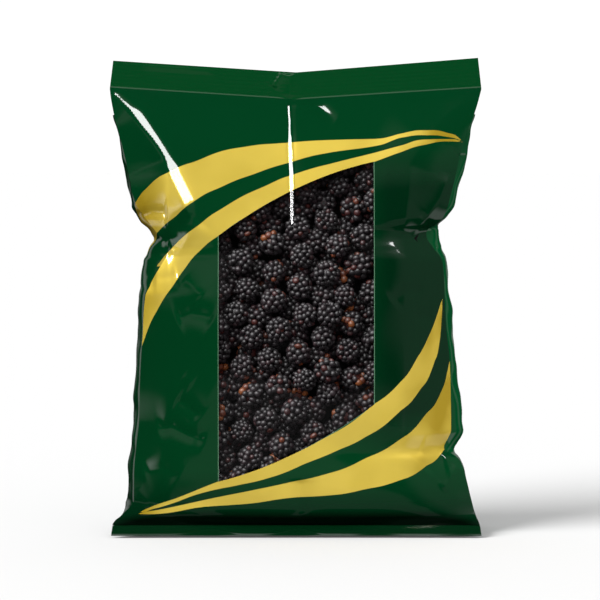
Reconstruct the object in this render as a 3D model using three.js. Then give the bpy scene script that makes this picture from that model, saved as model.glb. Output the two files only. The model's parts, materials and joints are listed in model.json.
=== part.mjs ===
// A sealed plastic bag with a clear front window, filled with dried bramble berries.
//
// Frame: millimetres, +X to the right, +Y to the back, +Z up. The bag stands on z = 0, its window
// faces -Y, and the origin is under the middle of its outer box.
//
// The film is one sheet wrapped to a tube, pressed flat and sealed at the top and the bottom. Here
// it is built as the panels between its folds: front, back, two narrow sides and the base.
import * as THREE from "three";
import { mergeVertices } from "three/addons/utils/BufferGeometryUtils.js";

// ---------- driving dimensions ----------
const SEAL_WIDTH = 250; // the flat width of the bag
const SEAL_TIE = 124.2; // half the width of the panels where they run into the top seal
const TOP_ENDS = 322; // height of the bag at the two ends of its top edge
const TOP_MIDDLE = 314; // the top edge dips in the middle
const SEAL_BAND = 18.6; // height of the pressed band
const FILM = 0.5; // wall of a panel, thicker than real film so that it stands as a solid
const GAP = 0.3; // clearance between neighbours
const FACET_ROOM = 0.3; // more room where two faceted walls follow the same curve
const SEAL_HALF = 1.0; // half the thickness of the pressed band
const PLANE_Y = 1.25; // where the flat top seal stands, with the footprint centred on the origin

const WINDOW_HALF = 52.2; // half the width of the clear window
const WINDOW_LAP = 4; // how far the clear film runs behind the printed panel

const CREASE_Z = 9.5; // height of the fold above the bottom seal
const FLAP_REACH = 9; // how far the bottom seal stands out in front of its fold
const RIM_Z = 8; // height at which the base turns up into the sides and the back
const RIM_WIDTH = 12; // width of that turned-up border
const FLARE_TOP = 23.5; // below this the front panel spreads to the ears, and the back doesn't

const BERRY_COLUMNS = 6; // berries in a long row; the rows between them have one fewer
const BERRY_ROWS = 9;
const BERRY_SMALL = 9.0; // radius of the smallest berry
const BERRY_LARGE = 10.2; // radius of the largest berry
const BERRY_SCATTER = 9; // how far a berry starts from its place in the leaning rows
const BERRY_SINK = 5; // how far a berry may lie behind its neighbours
const BERRY_SEED = 7;

// ---------- outlines over the height, each a few [height, value] knots ----------
// Distance of the corner folds from the middle plane, on the left and on the right.
const LEFT_FOLD = smooth([
  [0, 125], [CREASE_Z, 121.5], [20, 112], [50, 108.5], [110, 104.5], [160, 101.5],
  [184, 98], [201, 89.5], [222, 106], [265, 116.5], [303, SEAL_TIE],
]);
const RIGHT_FOLD = smooth([
  [0, 125], [CREASE_Z, 121.5], [30, 115], [47, 109.5], [59, 103.5], [110, 104],
  [160, 100.5], [190, 96.5], [208, 93], [226, 105.5], [265, 114], [303, SEAL_TIE],
]);
// How far the side panels swell out past the folds.
const SIDE_SWELL = smooth([[CREASE_Z, 0], [28, 2], [55, 5], [160, 5], [200, 5.5], [228, 3], [270, 0.5]]);
// Depth of the middle of the front and of the back, from the plane of the top seal.
const FRONT_DEPTH = smooth([
  [0, 36], [CREASE_Z, 36], [22, 40], [40, 42.5], [80, 43.5], [125, 42.5], [175, 38.5],
  [215, 32], [248, 23.5], [276, 11.5], [297, SEAL_HALF],
]);
const BACK_DEPTH = smooth([
  [0, 35], [RIM_Z, 36], [35, 41], [80, 43.5], [125, 42.5], [175, 37.5], [215, 30],
  [248, 21], [276, 10], [297, SEAL_HALF],
]);
// Depth of the front and back corner folds.
const FRONT_FOLD_DEPTH = smooth([
  [0, 35], [CREASE_Z, 34], [24, 22], [50, 15.5], [160, 14], [212, 12], [250, 7], [290, 2.2], [303, SEAL_HALF],
]);
const BACK_FOLD_DEPTH = smooth([
  [0, 26], [RIM_Z, 26], [32, 18], [60, 15], [160, 13.5], [212, 11.5], [250, 6.5], [290, 2.2],
  [303, SEAL_HALF],
]);
const CROWN = 2.4; // the higher, the flatter the panels and the quicker they fall to the folds

// ---------- lines across the width ----------
const SEAL_LOW = TOP_ENDS - SEAL_BAND; // the band's lower edge at its two ends
const SEAL_DIP = TOP_ENDS - TOP_MIDDLE;
const bow = (x) => Math.abs(x) / (SEAL_WIDTH / 2);
const sealLine = (x) => SEAL_LOW - SEAL_DIP + SEAL_DIP * bow(x);
const topEdge = (x) => TOP_MIDDLE + SEAL_DIP * bow(x);
// The window's lower and upper edges are two shallow arcs that rise to the right.
const windowLow = (x) => 58 + 0.498 * x + 0.0022 * x * x;
const windowHigh = (x) => 235 + 0.474 * x - 0.0025 * x * x;

// A smooth curve through [at, value] knots that never overshoots them, level past both ends.
function smooth(knots) {
  const steps = knots.slice(1).map(([at, value], i) => (value - knots[i][1]) / (at - knots[i][0]));
  const slopes = knots.map((_, i) => {
    const before = steps[i - 1] ?? steps[0];
    const after = steps[i] ?? steps[i - 1];
    return before * after > 0 ? (2 * before * after) / (before + after) : 0;
  });
  return (at) => {
    if (at <= knots[0][0]) return knots[0][1];
    if (at >= knots[knots.length - 1][0]) return knots[knots.length - 1][1];
    const i = knots.findIndex(([start], k) => start <= at && at < knots[k + 1][0]);
    const width = knots[i + 1][0] - knots[i][0];
    const t = (at - knots[i][0]) / width;
    const from = knots[i][1] + slopes[i] * width * t;
    const to = knots[i + 1][1] - slopes[i + 1] * width * (1 - t);
    const blend = t * t * (3 - 2 * t);
    return from * (1 - blend) + to * blend;
  };
}

// ---------- the bag's surface ----------
const foldAt = (x, z) => (x < 0 ? LEFT_FOLD(z) : RIGHT_FOLD(z));

// The heights near the top are squeezed so that every column ends on the sloping seal line.
const levelled = (x, z) => (z * sealLine(0)) / sealLine(x);

function depthOf(middleDepth, foldDepth, x, z) {
  const level = levelled(x, z);
  const across = Math.min(1, Math.abs(x) / foldAt(x, z));
  const fold = foldDepth(level);
  return fold + (middleDepth(level) - fold) * (1 - across ** CROWN);
}
const frontY = (x, z) => PLANE_Y - depthOf(FRONT_DEPTH, FRONT_FOLD_DEPTH, x, z);
const backY = (x, z) => PLANE_Y + depthOf(BACK_DEPTH, BACK_FOLD_DEPTH, x, z);

const span = (from, to, steps) =>
  Array.from({ length: steps + 1 }, (_, i) => from + ((to - from) * i) / steps);

// ---------- closed solids from two facing grids of points ----------
// outer and inner give the point at column i and row j. Seen from outside, columns run to the
// right and rows run up. A cell that has(i, j) denies is left open, with a wall round the opening.
function sheet(columns, rows, outer, inner, has = () => true) {
  const stride = columns + 1;
  const layer = stride * (rows + 1);
  const points = [];
  for (const side of [outer, inner]) {
    for (let j = 0; j <= rows; j++) {
      for (let i = 0; i <= columns; i++) points.push(side(i, j));
    }
  }
  const faces = [];
  const edges = new Map();
  const outerFace = (a, b, c) => {
    faces.push(a, b, c, a + layer, c + layer, b + layer);
    for (const [from, to] of [[a, b], [b, c], [c, a]]) {
      if (!edges.delete(`${to},${from}`)) edges.set(`${from},${to}`, [from, to]);
    }
  };
  for (let j = 0; j < rows; j++) {
    for (let i = 0; i < columns; i++) {
      if (!has(i, j)) continue;
      const corner = j * stride + i;
      outerFace(corner, corner + 1, corner + stride + 1);
      outerFace(corner, corner + stride + 1, corner + stride);
    }
  }
  for (const [from, to] of edges.values()) {
    faces.push(to, from, from + layer, to, from + layer, to + layer);
  }
  return new THREE.BufferGeometry().setFromPoints(points).setIndex(faces);
}

// ---------- finishes ----------
const finish = (color, roughness, metalness = 0) =>
  new THREE.MeshStandardMaterial({ color, roughness, metalness });
const FINISHES = {
  printedFilm: () => finish(0x06461f, 0.18),
  clearFilm: () =>
    new THREE.MeshStandardMaterial({ color: 0xf4f6f5, roughness: 0.05, transparent: true, opacity: 0.2 }),
  seal: () => finish(0x04421c, 0.3),
  berry: () => finish(0x17131a, 0.45),
};

const bag = new THREE.Group();
function add(name, geometry, slot) {
  const mesh = new THREE.Mesh(geometry, FINISHES[slot]());
  mesh.name = name;
  bag.add(mesh);
}

// ---------- front panel and window ----------
const SIDE_COLUMNS = 6;
const WINDOW_COLUMNS = 8;
const LOW_ROWS = 5;
const WINDOW_ROWS = 10;
const HIGH_ROWS = 7;

// Column and row lines of the front panel: both pass exactly along the window's four edges.
function frontPoint(i, j) {
  const rightStart = SIDE_COLUMNS + WINDOW_COLUMNS;
  const windowX = span(-WINDOW_HALF, WINDOW_HALF, WINDOW_COLUMNS);
  const nearX = windowX[Math.min(Math.max(i - SIDE_COLUMNS, 0), WINDOW_COLUMNS)];
  const low = windowLow(nearX);
  const high = windowHigh(nearX);
  const sideways = (z) => {
    if (i < SIDE_COLUMNS) {
      return -LEFT_FOLD(z) + ((LEFT_FOLD(z) - WINDOW_HALF) * i) / SIDE_COLUMNS;
    }
    if (i <= rightStart) return nearX;
    return WINDOW_HALF + ((RIGHT_FOLD(z) - WINDOW_HALF) * (i - rightStart)) / SIDE_COLUMNS;
  };
  const highStart = LOW_ROWS + WINDOW_ROWS;
  let z;
  if (j <= LOW_ROWS) z = CREASE_Z + ((low - CREASE_Z) * j) / LOW_ROWS;
  else if (j <= highStart) z = low + ((high - low) * (j - LOW_ROWS)) / WINDOW_ROWS;
  else z = high + ((sealLine(sideways(300)) - high) * (j - highStart)) / HIGH_ROWS;
  const x = sideways(z);
  return new THREE.Vector3(x, frontY(x, z), z);
}

const inward = (point, y) => point.clone().add(new THREE.Vector3(0, y, 0));

function frontPanel() {
  const inWindow = (i, j) =>
    i >= SIDE_COLUMNS && i < SIDE_COLUMNS + WINDOW_COLUMNS && j >= LOW_ROWS && j < LOW_ROWS + WINDOW_ROWS;
  return sheet(
    2 * SIDE_COLUMNS + WINDOW_COLUMNS,
    LOW_ROWS + WINDOW_ROWS + HIGH_ROWS,
    frontPoint,
    (i, j) => inward(frontPoint(i, j), FILM),
    (i, j) => !inWindow(i, j),
  );
}

// The clear film lies behind the printed panel and laps its border all round.
function windowFilm() {
  const place = (i, j, depth) => {
    const reach = WINDOW_HALF + WINDOW_LAP;
    const x = -reach + (2 * reach * i) / WINDOW_COLUMNS;
    const low = windowLow(x) - WINDOW_LAP;
    const high = windowHigh(x) + WINDOW_LAP;
    const z = low + ((high - low) * j) / WINDOW_ROWS;
    return new THREE.Vector3(x, frontY(x, z) + depth, z);
  };
  const behind = FILM + GAP + FACET_ROOM;
  return sheet(
    WINDOW_COLUMNS,
    WINDOW_ROWS,
    (i, j) => place(i, j, behind),
    (i, j) => place(i, j, behind + FILM),
  );
}

// ---------- back panel and its seam ----------
const BACK_COLUMNS = 14;
const BACK_ROWS = 18;

function backPoint(i, j, depth) {
  const across = 1 - (2 * i) / BACK_COLUMNS;
  const top = sealLine(across * SEAL_TIE);
  const z = RIM_Z + ((top - RIM_Z) * j) / BACK_ROWS;
  const x = across * foldAt(across, Math.max(z, FLARE_TOP));
  return new THREE.Vector3(x, backY(x, z) + depth, z);
}

const backPanel = () =>
  sheet(BACK_COLUMNS, BACK_ROWS, (i, j) => backPoint(i, j, 0), (i, j) => backPoint(i, j, -FILM));

// The long seam is a flat lap of two film edges, sealed down the middle of the back.
const SEAM_WIDTH = 14;
const SEAM_THICK = 0.8;
function backSeam() {
  const place = (i, j, depth) => {
    const x = SEAM_WIDTH * (0.5 - i);
    const z = RIM_Z + ((sealLine(0) - RIM_Z) * j) / BACK_ROWS;
    return new THREE.Vector3(x, backY(0, z) + depth, z);
  };
  const clear = GAP + FACET_ROOM;
  return sheet(1, BACK_ROWS, (i, j) => place(i, j, clear + SEAM_THICK), (i, j) => place(i, j, clear));
}

// ---------- side panels ----------
const GUSSET_COLUMNS = 4;
const GUSSET_ROWS = 18;
const GUSSET_TOP = 286; // above this the front and the back meet and the side closes to nothing

// side is -1 on the left and 1 on the right; v runs from the front fold to the back fold.
function gussetPoint(side, v, j, depth) {
  const share = j / GUSSET_ROWS;
  const base = CREASE_Z + (RIM_Z - CREASE_Z) * v + GAP;
  const z = base + (GUSSET_TOP - base) * share;
  const fold = side < 0 ? LEFT_FOLD : RIGHT_FOLD;
  const frontX = fold(z) - FACET_ROOM;
  const backX = fold(Math.max(z, FLARE_TOP)) - FACET_ROOM;
  const level = levelled(frontX, z);
  const hold = FILM + GAP + FACET_ROOM; // the front and back panels own the corners
  const front = -FRONT_FOLD_DEPTH(level) + hold;
  const back = BACK_FOLD_DEPTH(level) - hold;
  const swell = SIDE_SWELL(z) * Math.sin(Math.PI * v);
  const x = side * (frontX + (backX - frontX) * v + swell + depth);
  return new THREE.Vector3(x, PLANE_Y + front + (back - front) * v, z);
}

function gusset(side) {
  // Seen from outside, the columns of the left side run from back to front.
  const along = (i) => (side < 0 ? 1 - i / GUSSET_COLUMNS : i / GUSSET_COLUMNS);
  return sheet(
    GUSSET_COLUMNS,
    GUSSET_ROWS,
    (i, j) => gussetPoint(side, along(i), j, 0),
    (i, j) => gussetPoint(side, along(i), j, -FILM),
  );
}

// ---------- base ----------
const BASE_COLUMNS = 18;
const BASE_ROWS = 8;

// The film under the bag: flat on the surface, its border turned up to meet the panels.
function basePoint(i, j, lift) {
  const across = (2 * i) / BASE_COLUMNS - 1;
  const back = 1 - j / BASE_ROWS;
  const inset = FILM + GAP + FACET_ROOM;
  const frontHalf = foldAt(across, CREASE_Z) - inset;
  const backHalf = foldAt(across, FLARE_TOP) - inset;
  const half = frontHalf + (backHalf - frontHalf) * back;
  const x = across * half;
  const front = frontY(x, CREASE_Z) + FILM + GAP;
  const rear = backY(Math.min(Math.abs(x), backHalf), RIM_Z) - FILM - GAP;
  const y = front + (rear - front) * back;
  const toEdge = Math.min(half - Math.abs(x), y - front, rear - y);
  const turn = Math.max(0, 1 - toEdge / RIM_WIDTH);
  const rim = CREASE_Z + (RIM_Z - CREASE_Z) * back - inset - FACET_ROOM;
  return new THREE.Vector3(x, y, rim * turn ** 2 + lift);
}

const basePanel = () =>
  sheet(BASE_COLUMNS, BASE_ROWS, (i, j) => basePoint(i, j, 0), (i, j) => basePoint(i, j, FILM));

// ---------- seals ----------
const SEAL_COLUMNS = 16;
const SEAL_LEAN = 2; // the ends of the top seal lean in towards its top edge

function topSeal() {
  const place = (i, j, depth) => {
    const share = -1 + (2 * i) / SEAL_COLUMNS;
    const end = SEAL_WIDTH / 2 - SEAL_LEAN * j;
    const x = share * end;
    const z = j === 0 ? sealLine(x) + GAP : topEdge(x);
    return new THREE.Vector3(x, PLANE_Y + depth, z);
  };
  return sheet(SEAL_COLUMNS, 1, (i, j) => place(i, j, -SEAL_HALF), (i, j) => place(i, j, SEAL_HALF));
}

// The bottom seal is turned forward: it slopes from the fold down to the surface.
function bottomSeal() {
  const steps = 3;
  const place = (i, j, back) => {
    const share = -1 + (2 * i) / SEAL_COLUMNS;
    const rise = j / steps;
    const half = SEAL_WIDTH / 2 - (SEAL_WIDTH / 2 - LEFT_FOLD(CREASE_Z)) * rise;
    const x = share * half;
    const y = frontY(Math.min(Math.abs(x), LEFT_FOLD(CREASE_Z)), CREASE_Z) - GAP - FLAP_REACH * (1 - rise);
    return new THREE.Vector3(x, y + back, (CREASE_Z - GAP) * rise ** 0.8);
  };
  return sheet(SEAL_COLUMNS, steps, (i, j) => place(i, j, -SEAL_HALF), (i, j) => place(i, j, 0));
}

// ---------- berries ----------
// A seeded sequence of even random numbers from 0 to 1.
function dice(seed) {
  let state = seed;
  return () => {
    state = (state * 1664525 + 1013904223) % 4294967296;
    return state / 4294967296;
  };
}

const SETTLING_TURNS = 200;

// Berries start in leaning rows behind the window, and push each other apart until none touch.
function layOutBerries() {
  const roll = dice(BERRY_SEED);
  const pitch = (2 * WINDOW_HALF + 2 * WINDOW_LAP) / BERRY_COLUMNS;
  const berries = [];
  for (let row = 0; row < BERRY_ROWS; row++) {
    const inRow = BERRY_COLUMNS - (row % 2);
    for (let column = 0; column < inRow; column++) {
      const x = (column + 0.5 - inRow / 2) * pitch + (roll() - 0.5) * BERRY_SCATTER;
      const low = windowLow(x);
      const high = windowHigh(x);
      const z = low + (high - low) * ((row + 0.5) / BERRY_ROWS) + (roll() - 0.5) * BERRY_SCATTER;
      const radius = BERRY_SMALL + (BERRY_LARGE - BERRY_SMALL) * roll();
      berries.push({ x, z, radius, sink: radius + roll() * BERRY_SINK });
    }
  }
  for (let turn = 0; turn < SETTLING_TURNS; turn++) {
    berries.forEach((one, k) => {
      for (const other of berries.slice(k + 1)) {
        const behind = frontY(other.x, other.z) + other.sink - frontY(one.x, one.z) - one.sink;
        const apart = Math.hypot(other.x - one.x, behind, other.z - one.z);
        const overlap = one.radius + other.radius + GAP - apart;
        if (overlap <= 0) continue;
        const pushX = ((other.x - one.x) / apart) * overlap * 0.5;
        const pushZ = ((other.z - one.z) / apart) * overlap * 0.5;
        one.x -= pushX;
        one.z -= pushZ;
        other.x += pushX;
        other.z += pushZ;
      }
    });
  }
  return berries;
}

const DRUPELET_RELIEF = 0.08; // how far the lumps of a berry's skin differ, as a share of its radius
const BERRY_SQUASH = 0.96; // a dried berry is a little shorter than it is wide

function berryGeometry(radius, roll) {
  const geometry = new THREE.IcosahedronGeometry(radius, 1);
  geometry.deleteAttribute("normal");
  geometry.deleteAttribute("uv");
  const skin = mergeVertices(geometry);
  const corners = skin.getAttribute("position");
  const corner = new THREE.Vector3();
  for (let k = 0; k < corners.count; k++) {
    corner.fromBufferAttribute(corners, k).multiplyScalar(1 - DRUPELET_RELIEF * roll());
    corners.setXYZ(k, corner.x, corner.y, corner.z * BERRY_SQUASH);
  }
  return skin;
}

function berryMeshes() {
  const roll = dice(BERRY_SEED + 1);
  const behindFilm = 2 * (FILM + GAP + FACET_ROOM) + FACET_ROOM;
  return layOutBerries().map(({ x, z, radius, sink }, k) => {
    const mesh = new THREE.Mesh(berryGeometry(radius, roll), FINISHES.berry());
    mesh.position.set(x, frontY(x, z) + behindFilm + sink, z);
    mesh.rotation.y = roll() * Math.PI;
    mesh.name = `berry_${String(k + 1).padStart(2, "0")}`;
    return mesh;
  });
}

// The rest of the fill, pressed together into one mass, with a hollow for the berries in front.
const BED_COLUMNS = 26;
const BED_ROWS = 34;
const BED_TOP = 262;
const BED_BOTTOM = 1.2;
const BED_HALF = 94;
const SIDE_ROOM = 8; // room kept beside the bed
const FILM_ROOM = 4.5; // room kept inside the front and back panels
const WINDOW_LAYER = 30; // room kept behind the film for the front layer of berries
const LAYER_EDGE = 14; // how far that room runs on past the window
const LAYER_SLOPE = 9; // width of the slope at its edge
const SEAT_TOP = 24; // below this the bed narrows to the flat of the base
const SEAT_SHARE = 0.45; // its depth there, as a share
const LUMP_PITCH = 18.5; // spacing of the lumps that the berries make
const LUMP_HEIGHT = 1.1;

function berryBed() {
  const wave = (at) => Math.sin((2 * Math.PI * at) / LUMP_PITCH);
  const lump = (x, z) => LUMP_HEIGHT * wave(x) * wave(z);
  const half = (z) => Math.min(BED_HALF, LEFT_FOLD(z) - SIDE_ROOM, RIGHT_FOLD(z) - SIDE_ROOM);
  const position = (i, j) => {
    const z = BED_BOTTOM + ((BED_TOP - BED_BOTTOM) * j) / BED_ROWS;
    return { x: (-1 + (2 * i) / BED_COLUMNS) * half(z), z };
  };
  const squeeze = (z) => Math.min(1, SEAT_SHARE + (1 - SEAT_SHARE) * (z / SEAT_TOP));
  const frontLayer = (x, z) => {
    const beside = Math.abs(x) - WINDOW_HALF - LAYER_EDGE;
    const under = windowLow(x) - LAYER_EDGE - z;
    const outside = Math.max(0, beside, under) / LAYER_SLOPE;
    return FILM_ROOM + (WINDOW_LAYER - FILM_ROOM) * Math.max(0, 1 - outside);
  };
  return sheet(
    BED_COLUMNS,
    BED_ROWS,
    (i, j) => {
      const { x, z } = position(i, j);
      const y = frontY(x, z) + frontLayer(x, z) + lump(x, z);
      return new THREE.Vector3(x, PLANE_Y + (y - PLANE_Y) * squeeze(z), z);
    },
    (i, j) => {
      const { x, z } = position(i, j);
      const y = backY(x, z) - FILM_ROOM + lump(x, z);
      return new THREE.Vector3(x, PLANE_Y + (y - PLANE_Y) * squeeze(z), z);
    },
  );
}

// ---------- the bag ----------
add("front_panel", frontPanel(), "printedFilm");
add("window_film", windowFilm(), "clearFilm");
add("back_panel", backPanel(), "printedFilm");
add("back_seam", backSeam(), "seal");
add("left_gusset", gusset(-1), "printedFilm");
add("right_gusset", gusset(1), "printedFilm");
add("base_panel", basePanel(), "printedFilm");
add("top_seal", topSeal(), "seal");
add("bottom_seal", bottomSeal(), "seal");
bag.add(...berryMeshes());
add("berry_bed", berryBed(), "berry");

export default bag;
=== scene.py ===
# %% [markdown]
# # A sealed bag of dried bramble berries
#
# A glossy green film bag stands on its base. Two groups of gold bands sweep across it, and a clear
# window shows the fruit. The film is built as fine grids over the CAD panels, with its creases drawn
# as strokes. The fruit grows from one Geometry Nodes tree.
#
# Such a bag could also be blown up by a cloth simulation. Grids were chosen because a filled bag hardly
# moves: its outline, its dents and the edge of every printed band can then be put where they belong.
#
# ## The frame
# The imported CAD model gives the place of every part. Sizes in the grids are millimetres, as in the CAD.
# Node trees and berries count in metres, as Blender does.

import json
import math

import bpy
import numpy as np
from mathutils import Euler, Matrix, Vector

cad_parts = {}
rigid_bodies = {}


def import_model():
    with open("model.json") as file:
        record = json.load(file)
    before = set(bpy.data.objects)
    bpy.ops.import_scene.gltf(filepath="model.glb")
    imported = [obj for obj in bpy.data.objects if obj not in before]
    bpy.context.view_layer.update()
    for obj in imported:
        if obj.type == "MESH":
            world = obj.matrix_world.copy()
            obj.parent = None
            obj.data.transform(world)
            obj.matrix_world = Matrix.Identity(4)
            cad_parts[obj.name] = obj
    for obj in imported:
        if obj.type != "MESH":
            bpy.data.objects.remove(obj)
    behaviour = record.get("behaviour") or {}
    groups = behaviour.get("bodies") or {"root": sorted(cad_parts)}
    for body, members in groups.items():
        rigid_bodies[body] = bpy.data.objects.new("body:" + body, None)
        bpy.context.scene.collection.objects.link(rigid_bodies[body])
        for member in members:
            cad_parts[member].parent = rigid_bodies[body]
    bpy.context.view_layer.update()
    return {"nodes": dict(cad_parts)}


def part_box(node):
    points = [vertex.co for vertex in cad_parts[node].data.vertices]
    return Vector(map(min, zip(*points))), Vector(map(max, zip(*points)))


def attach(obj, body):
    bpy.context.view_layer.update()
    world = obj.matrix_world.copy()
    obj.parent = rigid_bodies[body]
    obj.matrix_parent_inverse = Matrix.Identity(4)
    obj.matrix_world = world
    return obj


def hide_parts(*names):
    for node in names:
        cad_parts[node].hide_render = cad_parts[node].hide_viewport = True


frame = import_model()
MM = 0.001
print("CAD nodes:", len(frame["nodes"]))

# %% [markdown]
# ## Smooth curves through a few knots
# Most lines on the bag are given by a few knots. A Bezier curve object could hold them, but the grids
# need plain numbers, so this is a function. It is the same kind of curve as in the CAD: it never
# overshoots its knots, and it is level past both ends.


# %%
def smooth(*knots):
    at = np.array([knot[0] for knot in knots], float)
    value = np.array([knot[1] for knot in knots], float)
    steps = np.diff(value) / np.diff(at)
    before, after = steps[:-1], steps[1:]
    same_way = before * after > 0
    middle = np.where(same_way, 2 * before * after / np.where(same_way, before + after, 1), 0)
    slopes = np.concatenate([steps[:1], middle, steps[-1:]])

    def curve(where):
        where = np.clip(np.asarray(where, float), at[0], at[-1])
        k = np.clip(np.searchsorted(at, where, side="right") - 1, 0, len(steps) - 1)
        width = at[k + 1] - at[k]
        t = (where - at[k]) / width
        start = value[k] + slopes[k] * width * t
        end = value[k + 1] - slopes[k + 1] * width * (1 - t)
        blend = t * t * (3 - 2 * t)
        return start * (1 - blend) + end * blend

    return curve


print("halfway between knots:", float(smooth((0, 0), (10, 4), (20, 12))(15)))

# %% [markdown]
# ## The main sizes
# The bag is a tube of film, pressed flat at the top and turned forward at the bottom. These few places
# are shared by several panels, so that their edges meet.

# %%
PLANE_Y = 1.25  # the plane of the top seal, between front and back
SEAL_HALF = 1.0  # half the thickness of a seal
CREASE_Z = 7.9  # where the front meets the bottom seal
CREASE_TOP = 13.6  # the top of the dark strip above that crease
LIP_Z = 1.6  # the free edge of the bottom seal
FLAP_REACH = 6  # how far that edge stands forward
RIM_Z = 8  # where the back meets the base
FLARE_TOP = 23.5  # below this the front flares out and the back does not
GUSSET_TOP = 286  # where the sides narrow to nothing
WINDOW_HALF = 52.2
BOTTOM_HALF = 124.6
CROWN = 2.4  # how square the filled bag is across
print("bottom and window width:", 2 * BOTTOM_HALF, 2 * WINDOW_HALF)

# %% [markdown]
# ## The outline of the bag
# Knots are (height, value). The folds have more knots than in the CAD: the bag is pinched on both
# sides where the fill ends, and again low on the right. Between its folds each side swells outwards.

# %%
left_fold = smooth(
    (0, BOTTOM_HALF), (CREASE_Z, 124.2), (9.5, 123.3), (12.1, 119.8), (15.5, 116.5), (19, 113),
    (24, 110.5), (34, 110.5), (60, 109), (78, 107), (102, 106.4), (136, 104.3), (160, 102.7),
    (168.5, 99.5), (174, 97), (186, 90), (192.3, 87.2), (197.5, 88.8), (205, 94.8), (217, 103.8),
    (224.5, 109), (241, 113), (265, 118.6), (286, 124.2), (302, 127),
)
right_fold = smooth(
    (0, BOTTOM_HALF), (CREASE_Z, 124), (11.4, 122.6), (24, 119), (37.4, 115.8), (48.7, 112.2), (51.4, 110),
    (54, 106.4), (56.2, 102), (58.2, 100.5), (64.4, 103.2), (72, 105.5), (92, 105.2), (117, 104.5),
    (139, 102.2), (160, 101), (184, 99.6), (195, 92.8), (204.5, 88.4), (210.6, 94.8), (217, 100.8),
    (228, 104.2), (243.5, 108.4), (267, 114), (286, 121.4), (302, 126),
)
left_swell = smooth(
    (CREASE_Z, 0), (14, 2.5), (22, 5.3), (38.6, 5.3), (55, 4.2), (76, 4.9), (113, 4.2), (142, 4.4),
    (160, 5.2), (171, 8.4), (183, 13), (189, 14.7), (193, 14), (199.4, 7.5), (203, 5.5), (207.6, 4),
    (212, 6), (220, 5.4), (226, 3.6), (240, 2.6), (265, 1.6), (GUSSET_TOP, 0),
)
right_swell = smooth(
    (CREASE_Z, 0), (28, 0.2), (52, 0.8), (55, 4), (58, 8.3), (61.4, 9.4), (70, 9.2), (80, 8.8), (92, 7.4),
    (113, 4.8), (138, 5.1), (158, 4.2), (171, 3.8), (183, 3.2), (190, 4.6), (197, 7), (205, 9.1),
    (208, 6.4), (211, 2.8), (216, 3.2), (224, 4.6), (240, 5), (257, 4.6), (267, 4), (277, 2.4),
    (GUSSET_TOP, 0),
)
print("width between the folds at mid height:", round(float(left_fold(150) + right_fold(150)), 1))

# %% [markdown]
# ## How far the bag stands out
# Front and back each have a depth down the middle and a smaller one along the folds. Across, one blends
# into the other along a flattened arch. The seal line dips in the middle, so depths follow its height.

# %%
front_depth = smooth(
    (0, 31), (CREASE_Z, 31), (9.5, 35), (12, 38), (16, 40.6), (22, 42), (40, 43), (80, 43.5),
    (125, 42.5), (175, 38.5), (215, 32), (248, 23.5), (276, 11.5), (297, SEAL_HALF),
)
back_depth = smooth(
    (0, 35), (8, 36), (35, 41), (80, 43.5), (125, 42.5), (175, 37.5), (215, 30), (248, 21), (276, 10),
    (297, SEAL_HALF),
)
front_fold_depth = smooth(
    (0, 32), (CREASE_Z, 32), (9.5, 23.5), (10.5, 21.5), (12, 20.8), (24, 18.5), (50, 15.5), (160, 14),
    (212, 12), (250, 7), (290, 2.2), (303, SEAL_HALF),
)
back_fold_depth = smooth(
    (0, 26), (8, 26), (32, 18), (60, 15), (160, 13.5), (212, 11.5), (250, 6.5), (290, 2.2),
    (303, SEAL_HALF),
)


def seal_line(x):
    """The lower edge of the top seal."""
    return 295.4 + 8 * np.abs(x) / 125


def top_edge(x):
    """The bag's upper edge, a little higher on the right."""
    return 313.7 + np.where(x < 0, 8, 10) * np.abs(x) / 125


def window_low(x):
    """The window's lower edge, which runs along a gold band."""
    return 58 + 0.498 * x + 0.0022 * x * x


def window_high(x):
    return 235 + 0.474 * x - 0.0025 * x * x


def fold_at(x, z):
    return np.where(x < 0, left_fold(z), right_fold(z))


def depth_of(middle, fold, x, z):
    level = z * seal_line(0) / seal_line(x)
    across = np.minimum(1, np.abs(x) / fold_at(x, z))
    return fold(level) + (middle(level) - fold(level)) * (1 - across**CROWN)


print("front depth at mid height:", round(float(depth_of(front_depth, front_fold_depth, 0.0, 150.0)), 2))

# %% [markdown]
# ## Creases as strokes
# Film creases in straight runs with sharp crests. Sculpting or a cloth simulation could give them, but
# each crease here has its own place. So a stroke is a line of points on the panel with a height and a
# width. It lifts or dents the film, most along the line, and fades to both ends. A small roundness makes
# a sharp crest that catches the light.


# %%
def near_line(points, x, z):
    """Distance to the line, the share of its length at the nearest place, and which side that is."""
    points = np.array(points, float)
    lengths = np.hypot(*np.diff(points, axis=0).T)
    total = lengths.sum()
    best = np.full(x.shape, 1e9)
    share = np.zeros(x.shape)
    side = np.ones(x.shape)
    run = 0
    for (x0, z0), (x1, z1), length in zip(points, points[1:], lengths):
        t = np.clip(((x - x0) * (x1 - x0) + (z - z0) * (z1 - z0)) / length**2, 0, 1)
        away = np.hypot(x - x0 - t * (x1 - x0), z - z0 - t * (z1 - z0))
        nearer = away < best
        best = np.where(nearer, away, best)
        share = np.where(nearer, (run + t * length) / total, share)
        leftward = (x1 - x0) * (z - z0) - (z1 - z0) * (x - x0)
        side = np.where(nearer, np.sign(leftward), side)
        run += length
    return best, share, side


def stroke(x, z, points, height, width, roundness=1.0, ends=(0.15, 0.15)):
    away, share, _ = near_line(points, x, z)
    profile = np.exp(-(np.sqrt(away**2 + roundness**2) - roundness) / width)
    rise = np.clip(share / ends[0], 0, 1) * np.clip((1 - share) / ends[1], 0, 1)
    return height * profile * rise * (2 - rise)


print("height on a stroke's line:", float(stroke(np.array(5.0), np.array(0.0), [(0, 0), (10, 0)], 2, 3)))

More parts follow.
